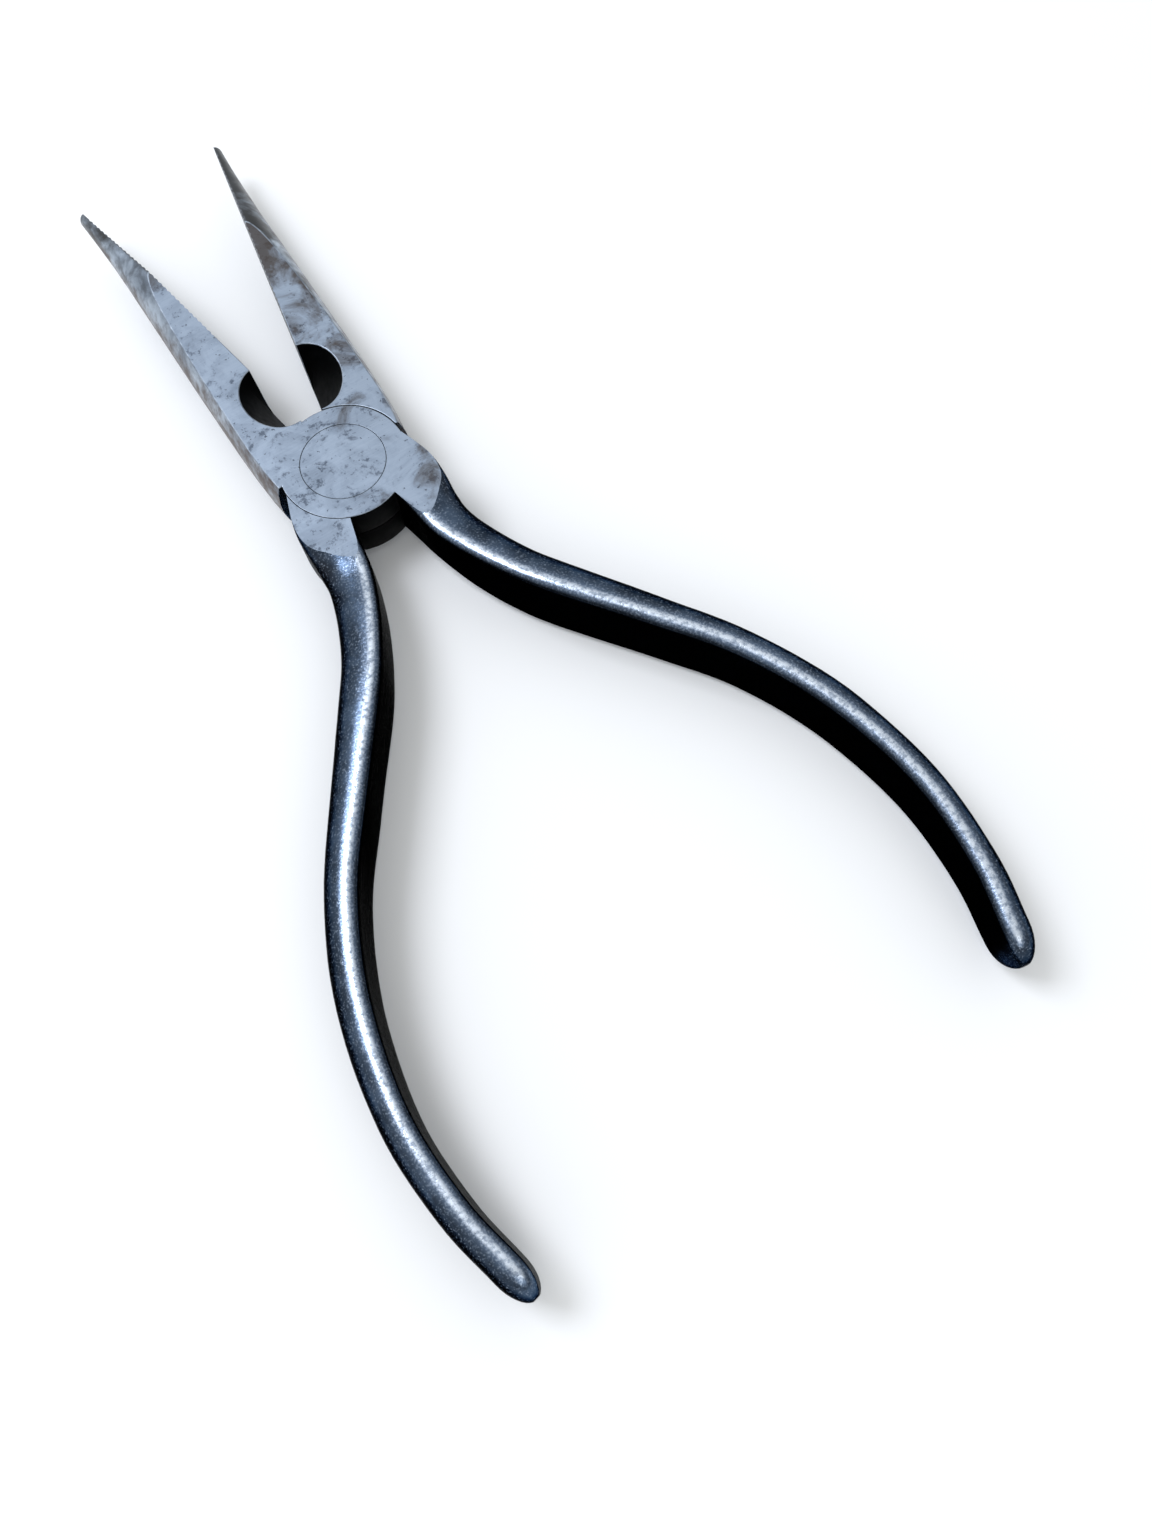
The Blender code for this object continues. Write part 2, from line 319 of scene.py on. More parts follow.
def handleRings(side):
    stations = handleStations()
    rings = []
    for i, (x, y, width, halfHeight, squareness) in enumerate(stations):
        before, after = stations[max(i - 1, 0)], stations[min(i + 1, len(stations) - 1)]
        along = Vector((after[0] - before[0], after[1] - before[1])).normalized()
        across = Vector((-along.y, along.x))
        section = handleSection(width, halfHeight, squareness)
        centred = [(u - width / 2, z) for u, z in section]
        rings.append([(side * (x + across.x * u), y + across.y * u, z) for u, z in centred])
    for turn in (10, 20, 30, 40, 50, 60, 68, 76):
        angle = math.radians(turn)
        shrink = math.cos(angle)
        reach = lever["endRounding"] * math.sin(angle)
        endX, endY = x + along.x * reach, y + along.y * reach
        rings.append([
            (side * (endX + across.x * u * shrink), endY + across.y * u * shrink, z * shrink)
            for u, z in centred
        ])
    return rings


def scoopRings(side):
    # from an ellipse above the front face down to the straight cutting edge
    edgeHeight = -halfThickness + cutter["edgeLand"]
    reach = (halfThickness + overcut - edgeHeight) / (halfThickness - edgeHeight)
    mouth = cutter["edgeLength"] + (cutter["length"] - cutter["edgeLength"]) * reach
    angles = [2 * math.pi * i / cutter["sides"] for i in range(cutter["sides"])]
    rings = []
    for depth, length, z in (
        (cutter["edgeWidth"], cutter["edgeLength"], edgeHeight),
        (cutter["depth"] * reach, mouth, halfThickness + overcut),
    ):
        rings.append([
            (side * depth * math.cos(a), scoopCentre + length / 2 * math.sin(a), z) for a in angles
        ])
    return rings


def teethRings(side):
    # a comb with a V for each groove between two teeth
    count = round((jawEnd - teeth["toTip"] - teethStart) / teeth["pitch"])
    clear = lever["jawClearance"]
    spread = (teeth["pitch"] - teeth["land"]) / 2 * (teeth["depth"] + clear / 2) / teeth["depth"]
    outline = [(-overcut, teethStart)]
    for i in range(count):
        y = teethStart + teeth["pitch"] * (i + 0.5)
        outline += [(clear / 2, y - spread), (clear + teeth["depth"], y), (clear / 2, y + spread)]
    outline.append((-overcut, teethStart + count * teeth["pitch"]))
    far = halfThickness + overcut
    return [[(side * x, y, z) for x, y in outline] for z in (-far, far)]


def rivetProfile(headClearance, shankClearance, beyond):
    head = rivet["headRadius"] + headClearance
    shank = rivet["shankRadius"] + shankClearance
    edge = halfThickness - rivet["headEdge"]
    taperEnd = edge - (head - shank)
    half = [(head, halfThickness + beyond), (head, edge), (shank, taperEnd)]
    return [(r, -z) for r, z in half] + half[::-1]


def boxRings(reach, lowY, highY, lowZ, highZ):
    base = [(-reach, lowY), (reach, lowY), (reach, highY), (-reach, highY)]
    return [[(x, y, z) for x, y in base] for z in (lowZ, highZ)]


# keeps the dents from lining up with the waves
dentShift = Vector((31.0, 7.0, 3.0))


def roughen(piece):
    # slow waves of hand grinding and the finer dents of forging, on the skin before it is cut
    for vertex in piece.data.vertices:
        wave = noise.noise(vertex.co / lever["waveLength"])
        dents = noise.noise(vertex.co / lever["hammerLength"] + dentShift)
        push = lever["waveHeight"] * (wave - lever["waveSink"]) + lever["hammerHeight"] * dents
        # none on the jaw face, so that the jaws still meet
        fade = min(max(abs(vertex.co.x) - lever["jawClearance"], 0.0), 1.0)
        vertex.co += vertex.normal * push * fade


def buildLever(name, jawSide, lapSide):
    # jawSide is -1 for the jaw on the left, lapSide +1 for the half disc in front
    piece = meshObject(name, handleRings(-jawSide))
    roughen(piece)
    nose = meshObject("nose", noseRings(jawSide))
    roughen(nose)
    radius, clear = lever["discRadius"], halfThickness + overcut
    sides = lever["discSides"]
    carve(piece, nose, "UNION")
    carve(piece, meshObject("disc", turnedRings([(radius, -clear), (radius, clear)], sides)), "UNION")
    for side in (-1, 1):
        low, high = sorted((side * halfThickness, side * (halfThickness + 4 * overcut)))
        wheel = meshObject("wheel", boxRings(2 * radius, -shoulderEnd, jawEnd + overcut, low, high))
        carve(piece, wheel, "DIFFERENCE")
    recess = radius + lever["discClearance"]
    ends = sorted((-lapSide * clear, lapSide * lever["lapGap"] / 2))
    carve(piece, meshObject("recess", turnedRings([(recess, z) for z in ends], sides)), "DIFFERENCE")
    hole = rivetProfile(rivet["headClearance"], rivet["shankClearance"], overcut)
    carve(piece, meshObject("hole", turnedRings(hole, rivet["sides"])), "DIFFERENCE")
    carve(piece, meshObject("scoop", scoopRings(jawSide)), "DIFFERENCE")
    carve(piece, meshObject("comb", teethRings(jawSide)), "DIFFERENCE")
    return piece


zones = ("ground", "blackened", "flank", "scoop", "jawFace", "rim")

# how far a face may stray from a surface and still belong to it, in millimetres
touching = 0.01
seamSlack = 0.05
# the same for the scoop's faceted wall, as a share of its size
scoopSlack = 0.04
# just past a surface, in millimetres
justPast = 0.02
cleaning = {
    # points nearer than this are one, and edges shorter than this are gone
    "same": 0.01,
    "collapsed": 0.005,
    # reach of the weld in widths of the round: along marked edges, and beside them
    "alongRound": 0.6,
    "besideRound": 1.5,
    "passes": 3,
    # bends that get a round, those that get one beside a ground face, and those shaded sharp
    "roundDeg": 28,
    "groundDeg": 8,
    "sharpDeg": 38,
    "toothMargin": 0.05,
    # the round at the rivet hole is thinner
    "rivetZone": 0.3,
    "rivetShare": 0.4,
    "rimZone": 0.5,
}


def zoneOf(face, jawSide):
    # which finish a face of a closed lever has, from where it lies
    centre = face.calc_center_median()
    out, y, z = centre.x * jawSide, centre.y, centre.z
    if abs(abs(z) - halfThickness) < touching and abs(face.normal.z) > 0.99 and y > -shoulderEnd:
        return "ground"
    edgeHeight = -halfThickness + cutter["edgeLand"]
    climb = (z - edgeHeight) / (halfThickness - edgeHeight)
    depth = max(cutter["depth"] * climb, cutter["edgeWidth"])
    reach = (cutter["edgeLength"] + (cutter["length"] - cutter["edgeLength"]) * climb) / 2
    if climb > -0.01 and abs(math.hypot(out / depth, (y - scoopCentre) / reach) - 1) < scoopSlack:
        return "scoop"
    # the recess, the lap face and the rivet hole get the scoop's near black, painted shade
    if math.hypot(out, y) <= lever["discRadius"] + lever["discClearance"] + seamSlack:
        return "scoop"
    if y > lever["rootAbovePivot"] + justPast and out > 0:
        return "jawFace" if out < lever["jawClearance"] + teeth["depth"] + touching else "flank"
    return "blackened"


def weldShortEdges(bm, weight):
    # draw points that lie too close to a marked edge for its round onto that edge
    marked = {vertex for edge in bm.edges if edge[weight] > 0 for vertex in edge.verts}
    target = {}
    for edge in sorted(bm.edges, key=lambda edge: edge.calc_length()):
        first, second = sorted(edge.verts, key=lambda v: (v not in marked, -abs(v.co.z)))
        share = cleaning["alongRound"] if second in marked else cleaning["besideRound"]
        near = lever["edgeRound"] * share
        if first not in marked or edge.calc_length() > near or (second in marked and edge[weight] == 0):
            continue
        if first not in target and second not in target and second not in target.values():
            target[second] = first
    bmesh.ops.weld_verts(bm, targetmap=target)
    bmesh.ops.dissolve_degenerate(bm, edges=bm.edges, dist=cleaning["collapsed"])


def roundEdges(piece, jawSide):
    # small worn rounds on the cut edges, and the finish of every face
    bm = bmesh.new()
    bm.from_mesh(piece.data)
    bmesh.ops.remove_doubles(bm, verts=bm.verts, dist=cleaning["same"])
    bmesh.ops.dissolve_degenerate(bm, edges=bm.edges, dist=cleaning["same"])
    weight = bm.edges.layers.float.new("bevel_weight_edge")
    for face in bm.faces:
        face.material_index = zones.index(zoneOf(face, jawSide))
    margin = cleaning["toothMargin"]
    toothed = lever["jawClearance"] + teeth["depth"] + margin
    discEnd = lever["discRadius"] + justPast
    ground = zones.index("ground")
    for edge in bm.edges:
        onTeeth = all(abs(v.co.x) < toothed and v.co.y > teethStart - margin for v in edge.verts)
        # the shoulders and the grip keep crisp edges
        ends = [(math.hypot(v.co.x, v.co.y), v.co.y) for v in edge.verts]
        below = any(y < lever["rootAbovePivot"] and away > discEnd for away, y in ends)
        if len(edge.link_faces) != 2 or onTeeth or below:
            continue
        kinds = {face.material_index for face in edge.link_faces}
        bend = edge.calc_face_angle(0.0)
        besideGround = ground in kinds and len(kinds) > 1
        if bend > math.radians(cleaning["groundDeg"] if besideGround else cleaning["roundDeg"]):
            atRivet = all(away < rivet["headRadius"] + cleaning["rivetZone"] for away, y in ends)
            edge[weight] = cleaning["rivetShare"] if atRivet else 1.0
    for _ in range(cleaning["passes"]):
        weldShortEdges(bm, weight)
    for face in bm.faces:
        if face.material_index == ground:
            for vertex in face.verts:
                vertex.co.z = math.copysign(halfThickness, vertex.co.z)
    bm.to_mesh(piece.data)
    bm.free()
    rounding = piece.modifiers.new("round", "BEVEL")
    rounding.limit_method = "WEIGHT"
    rounding.width = lever["edgeRound"]
    rounding.segments = 2
    rounding.use_clamp_overlap = False
    rounding.material = zones.index("rim")
    graph = bpy.context.evaluated_depsgraph_get()
    mesh = bpy.data.meshes.new_from_object(piece.evaluated_get(graph))
    piece.modifiers.clear()
    piece.data = mesh
    rim, blackened = zones.index("rim"), zones.index("blackened")
    mesh.shade_smooth()
    mesh.set_sharp_from_angle(angle=math.radians(cleaning["sharpDeg"]))
    for polygon in mesh.polygons:
        polygon.use_smooth = polygon.material_index != ground
        # only the rounds beside a ground face are rubbed bright and get a painted highlight
        lowest = min(abs(mesh.vertices[i].co.z) for i in polygon.vertices)
        if polygon.material_index == rim and lowest < halfThickness - lever["edgeRound"] - touching:
            onNose = polygon.center.y > lever["discRadius"]
            polygon.material_index = zones.index("flank") if onNose else blackened
            # rounds at the disc's edge get the scoop's near black: painted shade in the seam
            if math.hypot(polygon.center.x, polygon.center.y) < lever["discRadius"] + cleaning["rimZone"]:
                polygon.material_index = zones.index("scoop")


def ease(low, high, value):
    t = np.clip((value - low) / (high - low), 0, 1)
    return t * t * (3 - 2 * t)


def writeMask(mesh, name, values):
    layer = mesh.attributes.new(name, "FLOAT", "POINT")
    layer.data.foreach_set("value", np.asarray(values, np.float32))


# where the grip's masks lie: its worn crest with a painted highlight, painted shade on the inner face and
# throat wall, a painted brown reflection on the outer side
wearAndPaintedLight = {
    # where the masks rise from 0 to 1: Y and depth in millimetres, height and outer side as shares
    "gripStart": (-9.0, -14.0),
    "crestHeight": (0.72, 0.95),
    "crestWidth": 0.75,
    "insideStart": (-3.0, -6.0),
    "insideDepth": (0.0, 0.5),
    "outerShare": (0.55, 1.0),
}


def writeMasks(piece, jawSide):
    # crest: worn top of the grip, which also carries a painted highlight; inside: its flat inner face,
    # painted shade;
    # outer: its outermost side, a painted brown reflection; around: on the round of the nose, 0 at its top
    # and bottom and 1 at its outermost side
    points = np.empty(len(piece.data.vertices) * 3, np.float32)
    piece.data.vertices.foreach_get("co", points)
    points = points.reshape(-1, 3).astype(float)
    out = points[:, 0] * -jawSide
    stations = np.array(handleStations())
    centre = stations[:, :2]
    away = np.hypot(out[:, None] - centre[:, 0], points[:, 1:2] - centre[:, 1])
    near = away.argmin(axis=1)
    steps = np.gradient(centre, axis=0)
    steps /= np.linalg.norm(steps, axis=1)[:, None]
    across = np.stack([-steps[:, 1], steps[:, 0]], axis=1)[near]
    offset = np.stack([out, points[:, 1]], axis=1) - centre[near]
    u = (offset * across).sum(axis=1) + stations[near, 2] / 2
    height = np.abs(points[:, 2]) / stations[near, 3]
    crest = np.exp(-(((u - lever["crestSetback"]) / wearAndPaintedLight["crestWidth"]) ** 2))
    crest = crest * ease(*wearAndPaintedLight["crestHeight"], height)
    below = ease(*wearAndPaintedLight["gripStart"], points[:, 1])
    writeMask(piece.data, "crest", crest * below)
    inside = (1 - ease(*wearAndPaintedLight["insideDepth"], u)) * ease(*wearAndPaintedLight["insideStart"], points[:, 1])
    writeMask(piece.data, "inside", inside)
    writeMask(piece.data, "outer", ease(*wearAndPaintedLight["outerShare"], u / stations[near, 2]) * below)
    middle = lever["noseSides"] // 2
    nose = np.array([(ring[0][1], abs(ring[middle][0]), ring[0][2]) for ring in noseRings(1)])
    width = np.interp(points[:, 1], nose[:, 0], nose[:, 1])
    tall = np.interp(points[:, 1], nose[:, 0], nose[:, 2])
    turn = np.arctan2(np.abs(points[:, 2]) / tall, np.maximum(-out, 0) / width)
    writeMask(piece.data, "around", (1 - turn / (math.pi / 2)) * (points[:, 1] > 0))


def putInFrame(piece, turn):
    # into the frame: turned open, lifted so that the back ground face lies in Z = 0, in metres
    up = Matrix.Translation((0, 0, halfThickness))
    piece.data.transform(Matrix.Scale(mm, 4) @ up @ Matrix.Rotation(turn, 4, "Z"))


# sockets of the colour mix node
mixAmount, mixLow, mixHigh = 0, 6, 7

groundSteel = {
    "clean": "#8E9AA8",
    "dull": "#707B88",
    "stain": "#4C5562",
    "pit": "#262B34",
    "scratch": "#A9B3BE",
    "patina": "#4A423B",
    "stainMm": 5.0,
    "blotMm": 1.3,
    "pitMm": 0.45,
    "gritMm": 0.17,
    "gritTurn": 28.0,
    "roughness": (0.46, 0.6),
}


def makeGroundSteel():
    # tool steel off a surface grinder, long in use: satin, with water stains, pits and fine scratches
    made, tree, place = newMaterial("groundToolSteel", 1.0)
    look = groundSteel
    stains = addNode(tree, "TexNoise", {"Vector": place, "Scale": 1 / look["stainMm"], "Detail": 6.0,
                                        "Roughness": 0.62, "Distortion": 0.6})
    blots = addNode(tree, "TexNoise", {"Vector": place, "Scale": 1 / look["blotMm"], "Detail": 5.0,
                                       "Roughness": 0.68})
    pits = addNode(tree, "TexNoise", {"Vector": place, "Scale": 1 / look["pitMm"], "Detail": 2.0})
    alongGrit = addNode(tree, "Mapping", {"Vector": place, "Rotation": (0, 0, math.radians(look["gritTurn"])),
                                          "Scale": (0.25, 1 / look["gritMm"], 1.0)})
    grit = addNode(tree, "TexNoise", {"Vector": alongGrit, "Scale": 1.0, "Detail": 3.0, "Roughness": 0.6})
    # stains gather round the joint, where water and oil stay
    fromPivot = addNode(tree, "VectorMath", {0: place}, operation="LENGTH").outputs["Value"]
    nearJoint = addNode(tree, "MapRange", {"Value": fromPivot, "From Min": 7.5, "From Max": 2.5,
                                           "To Max": 0.12})
    heavy = addNode(tree, "Math", {0: blots, 1: nearJoint}, operation="ADD")
    dulled = addNode(tree, "MapRange", {"Value": stains, "From Min": 0.4, "From Max": 0.65, "To Max": 0.7})
    blotted = addNode(tree, "MapRange", {"Value": heavy, "From Min": 0.54, "From Max": 0.62})
    stained = addNode(tree, "MapRange", {"Value": stains, "From Min": 0.44, "From Max": 0.52, "To Max": 0.9})
    patches = addNode(tree, "Math", {0: blotted, 1: stained}, operation="MULTIPLY")
    holes = addNode(tree, "MapRange", {"Value": pits, "From Min": 0.68, "From Max": 0.74, "To Max": 0.8})
    scratched = addNode(tree, "MapRange", {"Value": grit, "From Min": 0.4, "From Max": 0.75, "To Max": 0.2})
    # brown patina creeping over the flats towards the tips, most on the right-hand jaw
    parts = addNode(tree, "SeparateXYZ", {"Vector": place})
    toTip = addNode(tree, "MapRange", {"Value": parts.outputs["Y"], "From Min": 14.0, "From Max": 46.0,
                                       "To Min": -0.16, "To Max": 0.1})
    toRight = addNode(tree, "MapRange", {"Value": parts.outputs["X"], "From Min": -6.0, "From Max": 7.0,
                                         "To Min": -0.1, "To Max": 0.12})
    leaning = addNode(tree, "Math", {0: toTip, 1: toRight}, operation="ADD")
    creep = addNode(tree, "Math", {0: leaning, 1: stains}, operation="ADD")
    brownTint = addNode(tree, "MapRange", {"Value": creep, "From Min": 0.46, "From Max": 0.66, "To Max": 0.85})
    color = look["clean"]
    for amount, tone in ((dulled, "dull"), (patches, "stain"), (holes, "pit"), (scratched, "scratch"),
                         (brownTint, "patina")):
        color = addNode(tree, "Mix", {mixAmount: amount, mixLow: color, mixHigh: look[tone]},
                        data_type="RGBA")
    low, high = look["roughness"]
    rough = addNode(tree, "MapRange", {"Value": stains, "From Min": 0.35, "From Max": 0.65, "To Min": low,
                                       "To Max": high})
    height = addNode(tree, "Math", {0: grit, 1: 0.35, 2: holes}, operation="MULTIPLY_ADD")
    finishMaterial(tree, color, rough, height, -0.03, 0.3)
    return made


blackOxide = {
    "skin": "#4C5B6E",
    "deep": "#343E4B",
    # rubbed, worn and bare carry the crest's rubbing with a painted sheen, glints and highlight; brown is a
    # painted reflection; shade is painted shade
    "crestRubAndSheen": "#74849A",
    "worn": "#A9B7C9",
    "bareAndHighlight": "#D5DEE8",
    "brown": "#241F1B",
    "shade": "#0D0E10",
    "peelMm": 0.6,
    "speckMm": 0.25,
    "cloudMm": 5.0,
    "roughness": (0.2, 0.34),
    # dulls the sheen that bare metal would have at the edges
    "edgeTint": "#4A4A4A",
}


def makeBlackOxide():
    # forged carbon steel in hot black oxide: blue-black, orange-peel skin, rubbed bright on the crests with a
    # painted highlight, painted shade on the inner face, a painted brown reflection on the outer side
    made, tree, place = newMaterial("blackOxideForging", 1.0)
    look = blackOxide
    tree.nodes["Principled BSDF"].inputs["Specular Tint"].default_value = linearColor(look["edgeTint"])
    clouds = addNode(tree, "TexNoise", {"Vector": place, "Scale": 1 / look["cloudMm"], "Detail": 5.0,
                                        "Roughness": 0.6})
    peel = addNode(tree, "TexNoise", {"Vector": place, "Scale": 1 / look["peelMm"], "Detail": 4.0,
                                      "Roughness": 0.6})
    specks = addNode(tree, "TexNoise", {"Vector": place, "Scale": 1 / look["speckMm"], "Detail": 2.0})
    masks = [addNode(tree, "Attribute", attribute_name=name) for name in ("outer", "inside", "crest")]
    outer, inside, crest = (mask.outputs["Fac"] for mask in masks)
    clouded = addNode(tree, "MapRange", {"Value": clouds, "From Min": 0.38, "From Max": 0.6})
    # bright specks, crowding together on the crest: bare metal from wear, and painted glints
    sparkle = addNode(tree, "Math", {0: crest, 1: 0.2, 2: specks}, operation="MULTIPLY_ADD")
    specked = addNode(tree, "MapRange", {"Value": sparkle, "From Min": 0.55, "From Max": 0.85,
                                         "To Max": 0.75})
    # painted brown reflection down the outer side of the grip
    brownTint = addNode(tree, "Math", {0: outer, 1: 0.85}, operation="MULTIPLY")
    # painted shade on the flat inner face of the grip and the throat wall
    shaded = addNode(tree, "Math", {0: inside, 1: 0.97}, operation="MULTIPLY")
    # the crest lighter all along: rubbing, and a painted sheen
    crestRubAndSheen = addNode(tree, "Math", {0: crest, 1: 0.75}, operation="MULTIPLY")
    # the core of the crest is rubbed to bare metal, broken up by the forged skin, and painted near white as a
    # highlight
    core = addNode(tree, "MapRange", {"Value": crest, "From Min": 0.6, "From Max": 0.95})
    broken = addNode(tree, "MapRange", {"Value": peel, "From Min": 0.4, "From Max": 0.55, "To Min": 0.25})
    bareAndHighlight = addNode(tree, "Math", {0: core, 1: broken}, operation="MULTIPLY")
    color = look["skin"]
    for amount, tone in ((clouded, "deep"), (brownTint, "brown"), (crestRubAndSheen, "crestRubAndSheen"), (specked, "worn"),
                         (bareAndHighlight, "bareAndHighlight"), (shaded, "shade")):
        color = addNode(tree, "Mix", {mixAmount: amount, mixLow: color, mixHigh: look[tone]},
                        data_type="RGBA")
    low, high = look["roughness"]
    rough = addNode(tree, "MapRange", {"Value": peel, "From Min": 0.3, "From Max": 0.7, "To Min": low,
                                       "To Max": high})
    height = addNode(tree, "Math", {0: specks, 1: 0.35, 2: peel}, operation="MULTIPLY_ADD")
    finishMaterial(tree, color, rough, height, 0.06, 0.6)
    return made


noseFlank = {
    "bright": "#A4AFBB",
    "dull": "#737D89",
    # brown is a painted reflection down the outer side; dark makes the tips darker and paints shade on the
    # right-hand jaw
    "brown": "#4A3728",
    "dark": "#38352F",
    "cloudMm": 5.0,
    "blotMm": 2.0,
    "roughness": (0.3, 0.45),
}


def makeNoseFlank():
    # the round of the nose: polished steel, tarnished in clouds, a painted brown reflection down the outer
    # side, darker at the tip and with painted shade on the right-hand jaw
    made, tree, place = newMaterial("noseSteelTarnishAndPaintedLight", 1.0)
    look = noseFlank
    clouds = addNode(tree, "TexNoise", {"Vector": place, "Scale": 1 / look["cloudMm"], "Detail": 6.0,
                                        "Roughness": 0.6, "Distortion": 0.4})
    blots = addNode(tree, "TexNoise", {"Vector": place, "Scale": 1 / look["blotMm"], "Detail": 5.0,
                                       "Roughness": 0.65})
    around = addNode(tree, "Attribute", attribute_name="around").outputs["Fac"]
    clouded = addNode(tree, "MapRange", {"Value": clouds, "From Min": 0.38, "From Max": 0.6})
    # painted brown reflection down the outer side of the round, broken into blots
    side = addNode(tree, "MapRange", {"Value": around, "From Min": 0.4, "From Max": 0.95, "To Min": -0.25,
                                      "To Max": 0.2})
    brownReflectionAmount = addNode(tree, "Math", {0: side, 1: blots}, operation="ADD")
    brownReflected = addNode(tree, "MapRange", {"Value": brownReflectionAmount, "From Min": 0.4, "From Max": 0.7, "To Max": 0.85})
    # darker towards the tips, and on the right-hand jaw as painted shade where its flank faces away from the
    # light
    parts = addNode(tree, "SeparateXYZ", {"Vector": place})
    toTip = addNode(tree, "MapRange", {"Value": parts.outputs["Y"], "From Min": 30.0, "From Max": 58.0,
                                       "To Min": -0.2, "To Max": 0.15})
    toRight = addNode(tree, "MapRange", {"Value": parts.outputs["X"], "From Min": -8.0, "From Max": 8.0,
                                         "To Min": -0.1, "To Max": 0.12})
    leaning = addNode(tree, "Math", {0: toTip, 1: toRight}, operation="ADD")
    darkerTipsAndRightJaw = addNode(tree, "Math", {0: leaning, 1: clouds}, operation="ADD")
    darkened = addNode(tree, "MapRange", {"Value": darkerTipsAndRightJaw, "From Min": 0.36, "From Max": 0.6, "To Max": 0.85})
    color = look["bright"]
    for amount, tone in ((clouded, "dull"), (brownReflected, "brown"), (darkened, "dark")):
        color = addNode(tree, "Mix", {mixAmount: amount, mixLow: color, mixHigh: look[tone]},
                        data_type="RGBA")
    low, high = look["roughness"]
    rough = addNode(tree, "MapRange", {"Value": blots, "From Min": 0.35, "From Max": 0.65, "To Min": low,
                                       "To Max": high})
    finishMaterial(tree, color, rough, blots, 0.04, 0.2)
    return made


def makePlainSteel(name, dark, light, mottleMm, roughness):
    # a cut surface with one mottled tone
    made, tree, place = newMaterial(name, 1.0)
    mottle = addNode(tree, "TexNoise", {"Vector": place, "Scale": 1 / mottleMm, "Detail": 4.0,
                                        "Roughness": 0.6})
    mottled = addNode(tree, "MapRange", {"Value": mottle, "From Min": 0.35, "From Max": 0.65})
    color = addNode(tree, "Mix", {mixAmount: mottled, mixLow: dark, mixHigh: light}, data_type="RGBA")
    rough = addNode(tree, "MapRange", {"Value": mottle, "From Min": 0.3, "From Max": 0.7,
                                       "To Min": roughness - 0.06, "To Max": roughness + 0.08})
    finishMaterial(tree, color, rough, mottle, 0.03, 0.3)
    return made


finishes = {
    "ground": makeGroundSteel(),
    "blackened": makeBlackOxide(),
    "flank": makeNoseFlank(),
    # milled scoops, the recess and the rivet hole: near black, painted shade in the hollows
    "scoop": makePlainSteel("paintedShadeMilledSteel", "#040405", "#0B0B0C", 1.2, 0.6),
    # milled jaw faces, dulled by use
    "jawFace": makePlainSteel("milledJawSteel", "#4A4C50", "#7C8187", 0.8, 0.4),
    # edges rubbed bright by handling, lighter still as a painted highlight
    "rim": makePlainSteel("rubbedEdgeHighlightSteel", "#6E7782", "#A5AFBA", 1.5, 0.44),
}
print("materials made")

for node, body, jawSide, lapSide in (
    ("front_lever", "front_lever", -1, 1),
    ("back_lever", "back_lever", 1, -1),
):
    piece = buildLever(node + "_forging", jawSide, lapSide)
    # the Booleans leave an empty slot
    piece.data.materials.clear()
    for zone in zones:
        piece.data.materials.append(finishes[zone])
    roundEdges(piece, jawSide)
    writeMasks(piece, jawSide)
    putInFrame(piece, -jawSide * restTurn)
    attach(piece, body)
    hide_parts(node)
    print(piece.name, len(piece.data.polygons), "faces")


def buildRivet():
    # flush countersunk rivet: the ends are ground with the joint, their edges just broken
    worn = rivet["edgeRound"]
    profile = rivetProfile(0.0, 0.0, 0.0)
    ends = [(profile[0][0] - worn, profile[0][1]), (profile[0][0], profile[0][1] + worn)]
    profile = ends + profile[1:-1] + [(r, -z) for r, z in ends[::-1]]
    piece = meshObject("rivet_body", turnedRings(profile, rivet["sides"]))
    for polygon in piece.data.polygons:
        polygon.use_smooth = abs(polygon.normal.z) < 0.99
    piece.data.set_sharp_from_angle(angle=math.radians(30))
    piece.data.materials.append(finishes["ground"])
    putInFrame(piece, 0.0)
    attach(piece, "back_lever")
    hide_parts("pivot_rivet")
    return piece


buildRivet()
print("rivet made")

view = {
    # millimetres, but clipStart in metres
    "lens": 31.64,
    "sensorWidth": 36.0,
    "clipStart": 0.01,
    "distance": 174.63,
    # where the joint sits in the view, left of and above its middle, at that distance
    "jointLeft": 29.27,
    "jointUp": 37.38,
    "rollDeg": 33.03,
    "tiltDeg": 20.56,
    "tiltTowardsDeg": -171.93,
}


def aimCamera():
    towards = math.radians(view["tiltTowardsDeg"])
    tilt = Matrix.Rotation(math.radians(view["tiltDeg"]), 3, (math.cos(towards), math.sin(towards), 0))
    turn = tilt @ Matrix.Rotation(math.radians(view["rollDeg"]), 3, "Z")
    offset = Vector((-view["jointLeft"], view["jointUp"], -view["distance"])) * mm
    data = bpy.data.cameras.new("camera")
    data.lens = view["lens"]
    data.sensor_width = view["sensorWidth"]
    data.clip_start = view["clipStart"]
    camera = bpy.data.objects.new("camera", data)
    bpy.context.scene.collection.objects.link(camera)
    eye = Vector((0, 0, halfThickness * mm)) - turn.transposed() @ offset
    camera.matrix_world = Matrix.Translation(eye) @ turn.transposed().to_4x4()
    bpy.context.scene.camera = camera
    return turn.transposed()


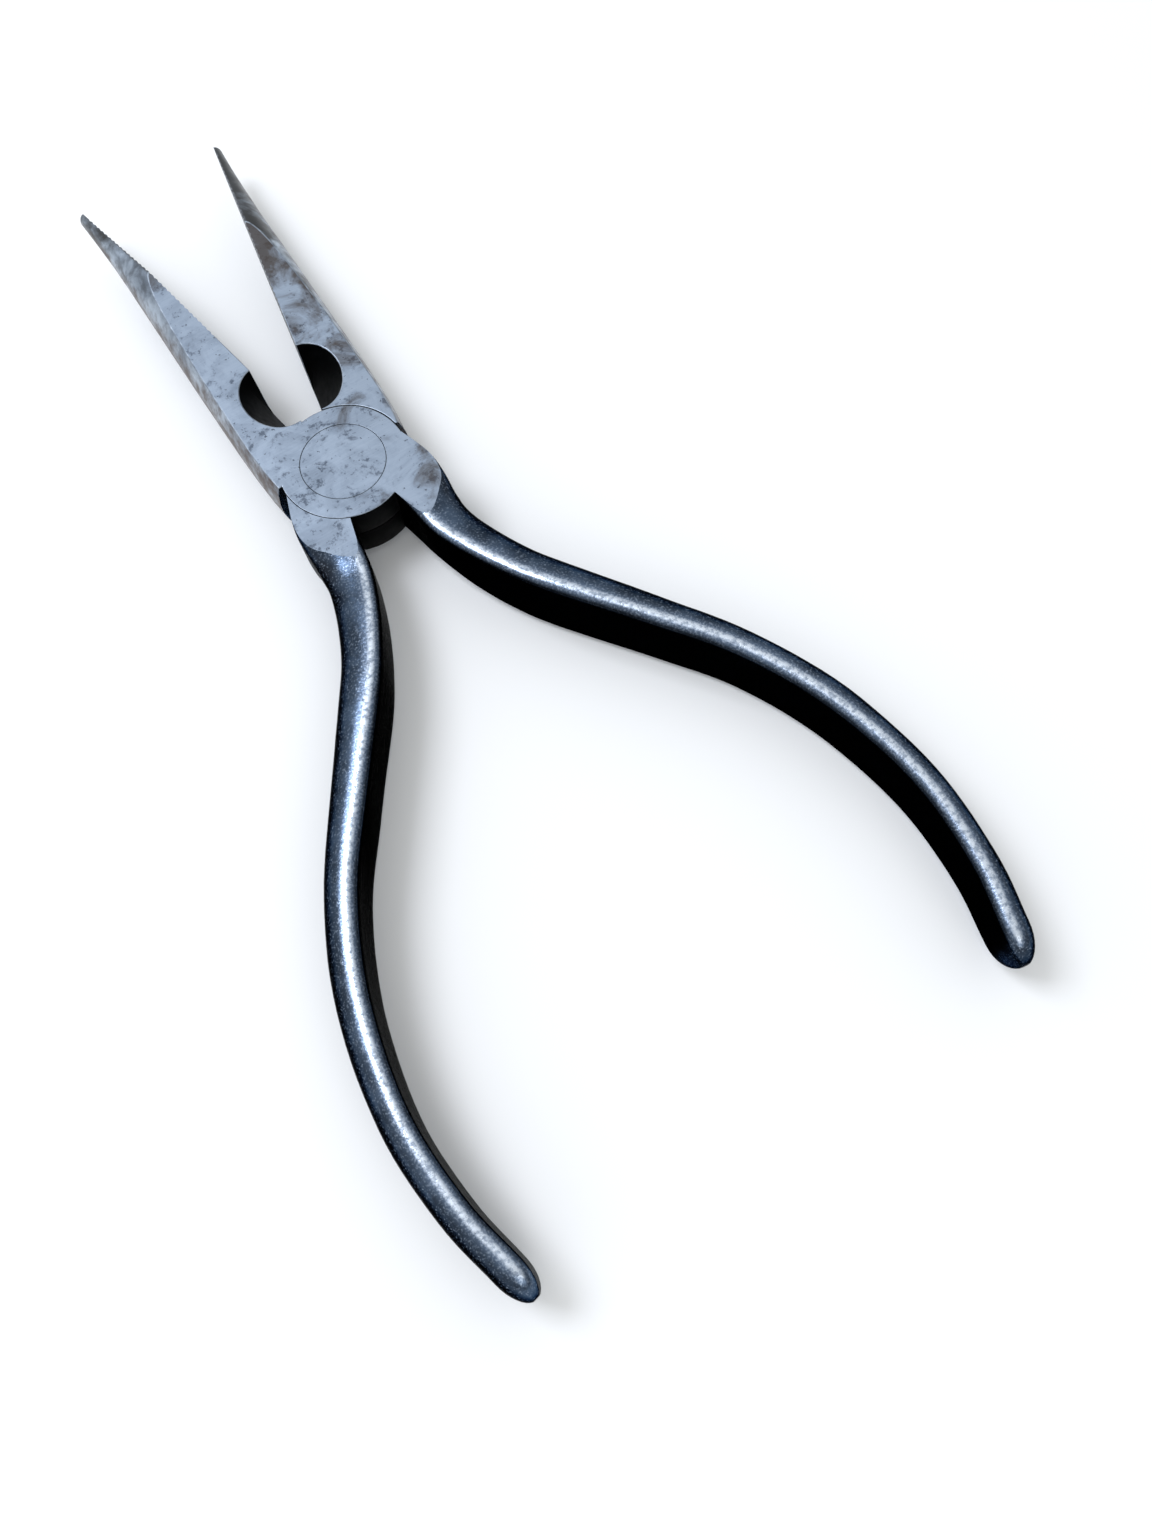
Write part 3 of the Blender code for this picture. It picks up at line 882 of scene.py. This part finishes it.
studio = {
    "floorColor": "#F4F4F2",
    # metres
    "floorSize": 4.0,
    "floorDrop": 0.0002,
    # the room: brightest towards the window side, dim on the far side
    "roomColor": "#EDF0F4",
    "roomStrength": (0.3, 1.15),
    # directions are seen from the camera: right, up, towards it
    "windowSide": (-0.45, 0.55, 0.7),
    # direction, distance and size in metres, watts, color
    "lights": (
        ("keySoftbox", (-0.52, 0.42, 0.74), 0.7, (0.3, 0.3), 2.6, "#EEF3FF"),
        ("topSoftbox", (0.35, -0.55, 0.76), 0.9, (0.5, 0.5), 1.2, "#FFFFFF"),
    ),
}


def buildStudio(turn):
    floorHeight = cadLow.z - studio["floorDrop"]
    bpy.ops.mesh.primitive_plane_add(size=studio["floorSize"], location=(0, 0, floorHeight))
    floor = bpy.context.object
    floor.name = "floor"
    made, tree = newMaterial("paleFloor", 0.0)[:2]
    shader = tree.nodes["Principled BSDF"]
    shader.inputs["Base Color"].default_value = linearColor(studio["floorColor"])
    shader.inputs["Roughness"].default_value = 0.9
    floor.data.materials.append(made)
    world = bpy.data.worlds.new("studio")
    world.use_nodes = True
    tree = world.node_tree
    window = (turn @ Vector(studio["windowSide"])).normalized()
    towards = addNode(tree, "TexCoord").outputs["Generated"]
    facing = addNode(tree, "VectorMath", {0: towards, 1: window}, operation="DOT_PRODUCT").outputs["Value"]
    dim, bright = studio["roomStrength"]
    strength = addNode(tree, "MapRange", {"Value": facing, "From Min": -0.3, "From Max": 1.0, "To Min": dim,
                                          "To Max": bright})
    sky = tree.nodes["Background"]
    sky.inputs["Color"].default_value = linearColor(studio["roomColor"])
    tree.links.new(strength.outputs["Result"], sky.inputs["Strength"])
    bpy.context.scene.world = world
    for name, direction, distance, size, watts, tone in studio["lights"]:
        data = bpy.data.lights.new(name, "AREA")
        data.shape = "RECTANGLE"
        data.size, data.size_y = size
        data.energy = watts
        data.color = linearColor(tone)[:3]
        lamp = bpy.data.objects.new(name, data)
        bpy.context.scene.collection.objects.link(lamp)
        away = (turn @ Vector(direction)).normalized()
        lamp.location = away * distance
        lamp.rotation_mode = "QUATERNION"
        lamp.rotation_quaternion = away.to_track_quat("Z", "Y")


buildStudio(aimCamera())
bpy.context.scene.view_settings.view_transform = "Standard"
print("camera and studio set")

bpy.context.view_layer.update()
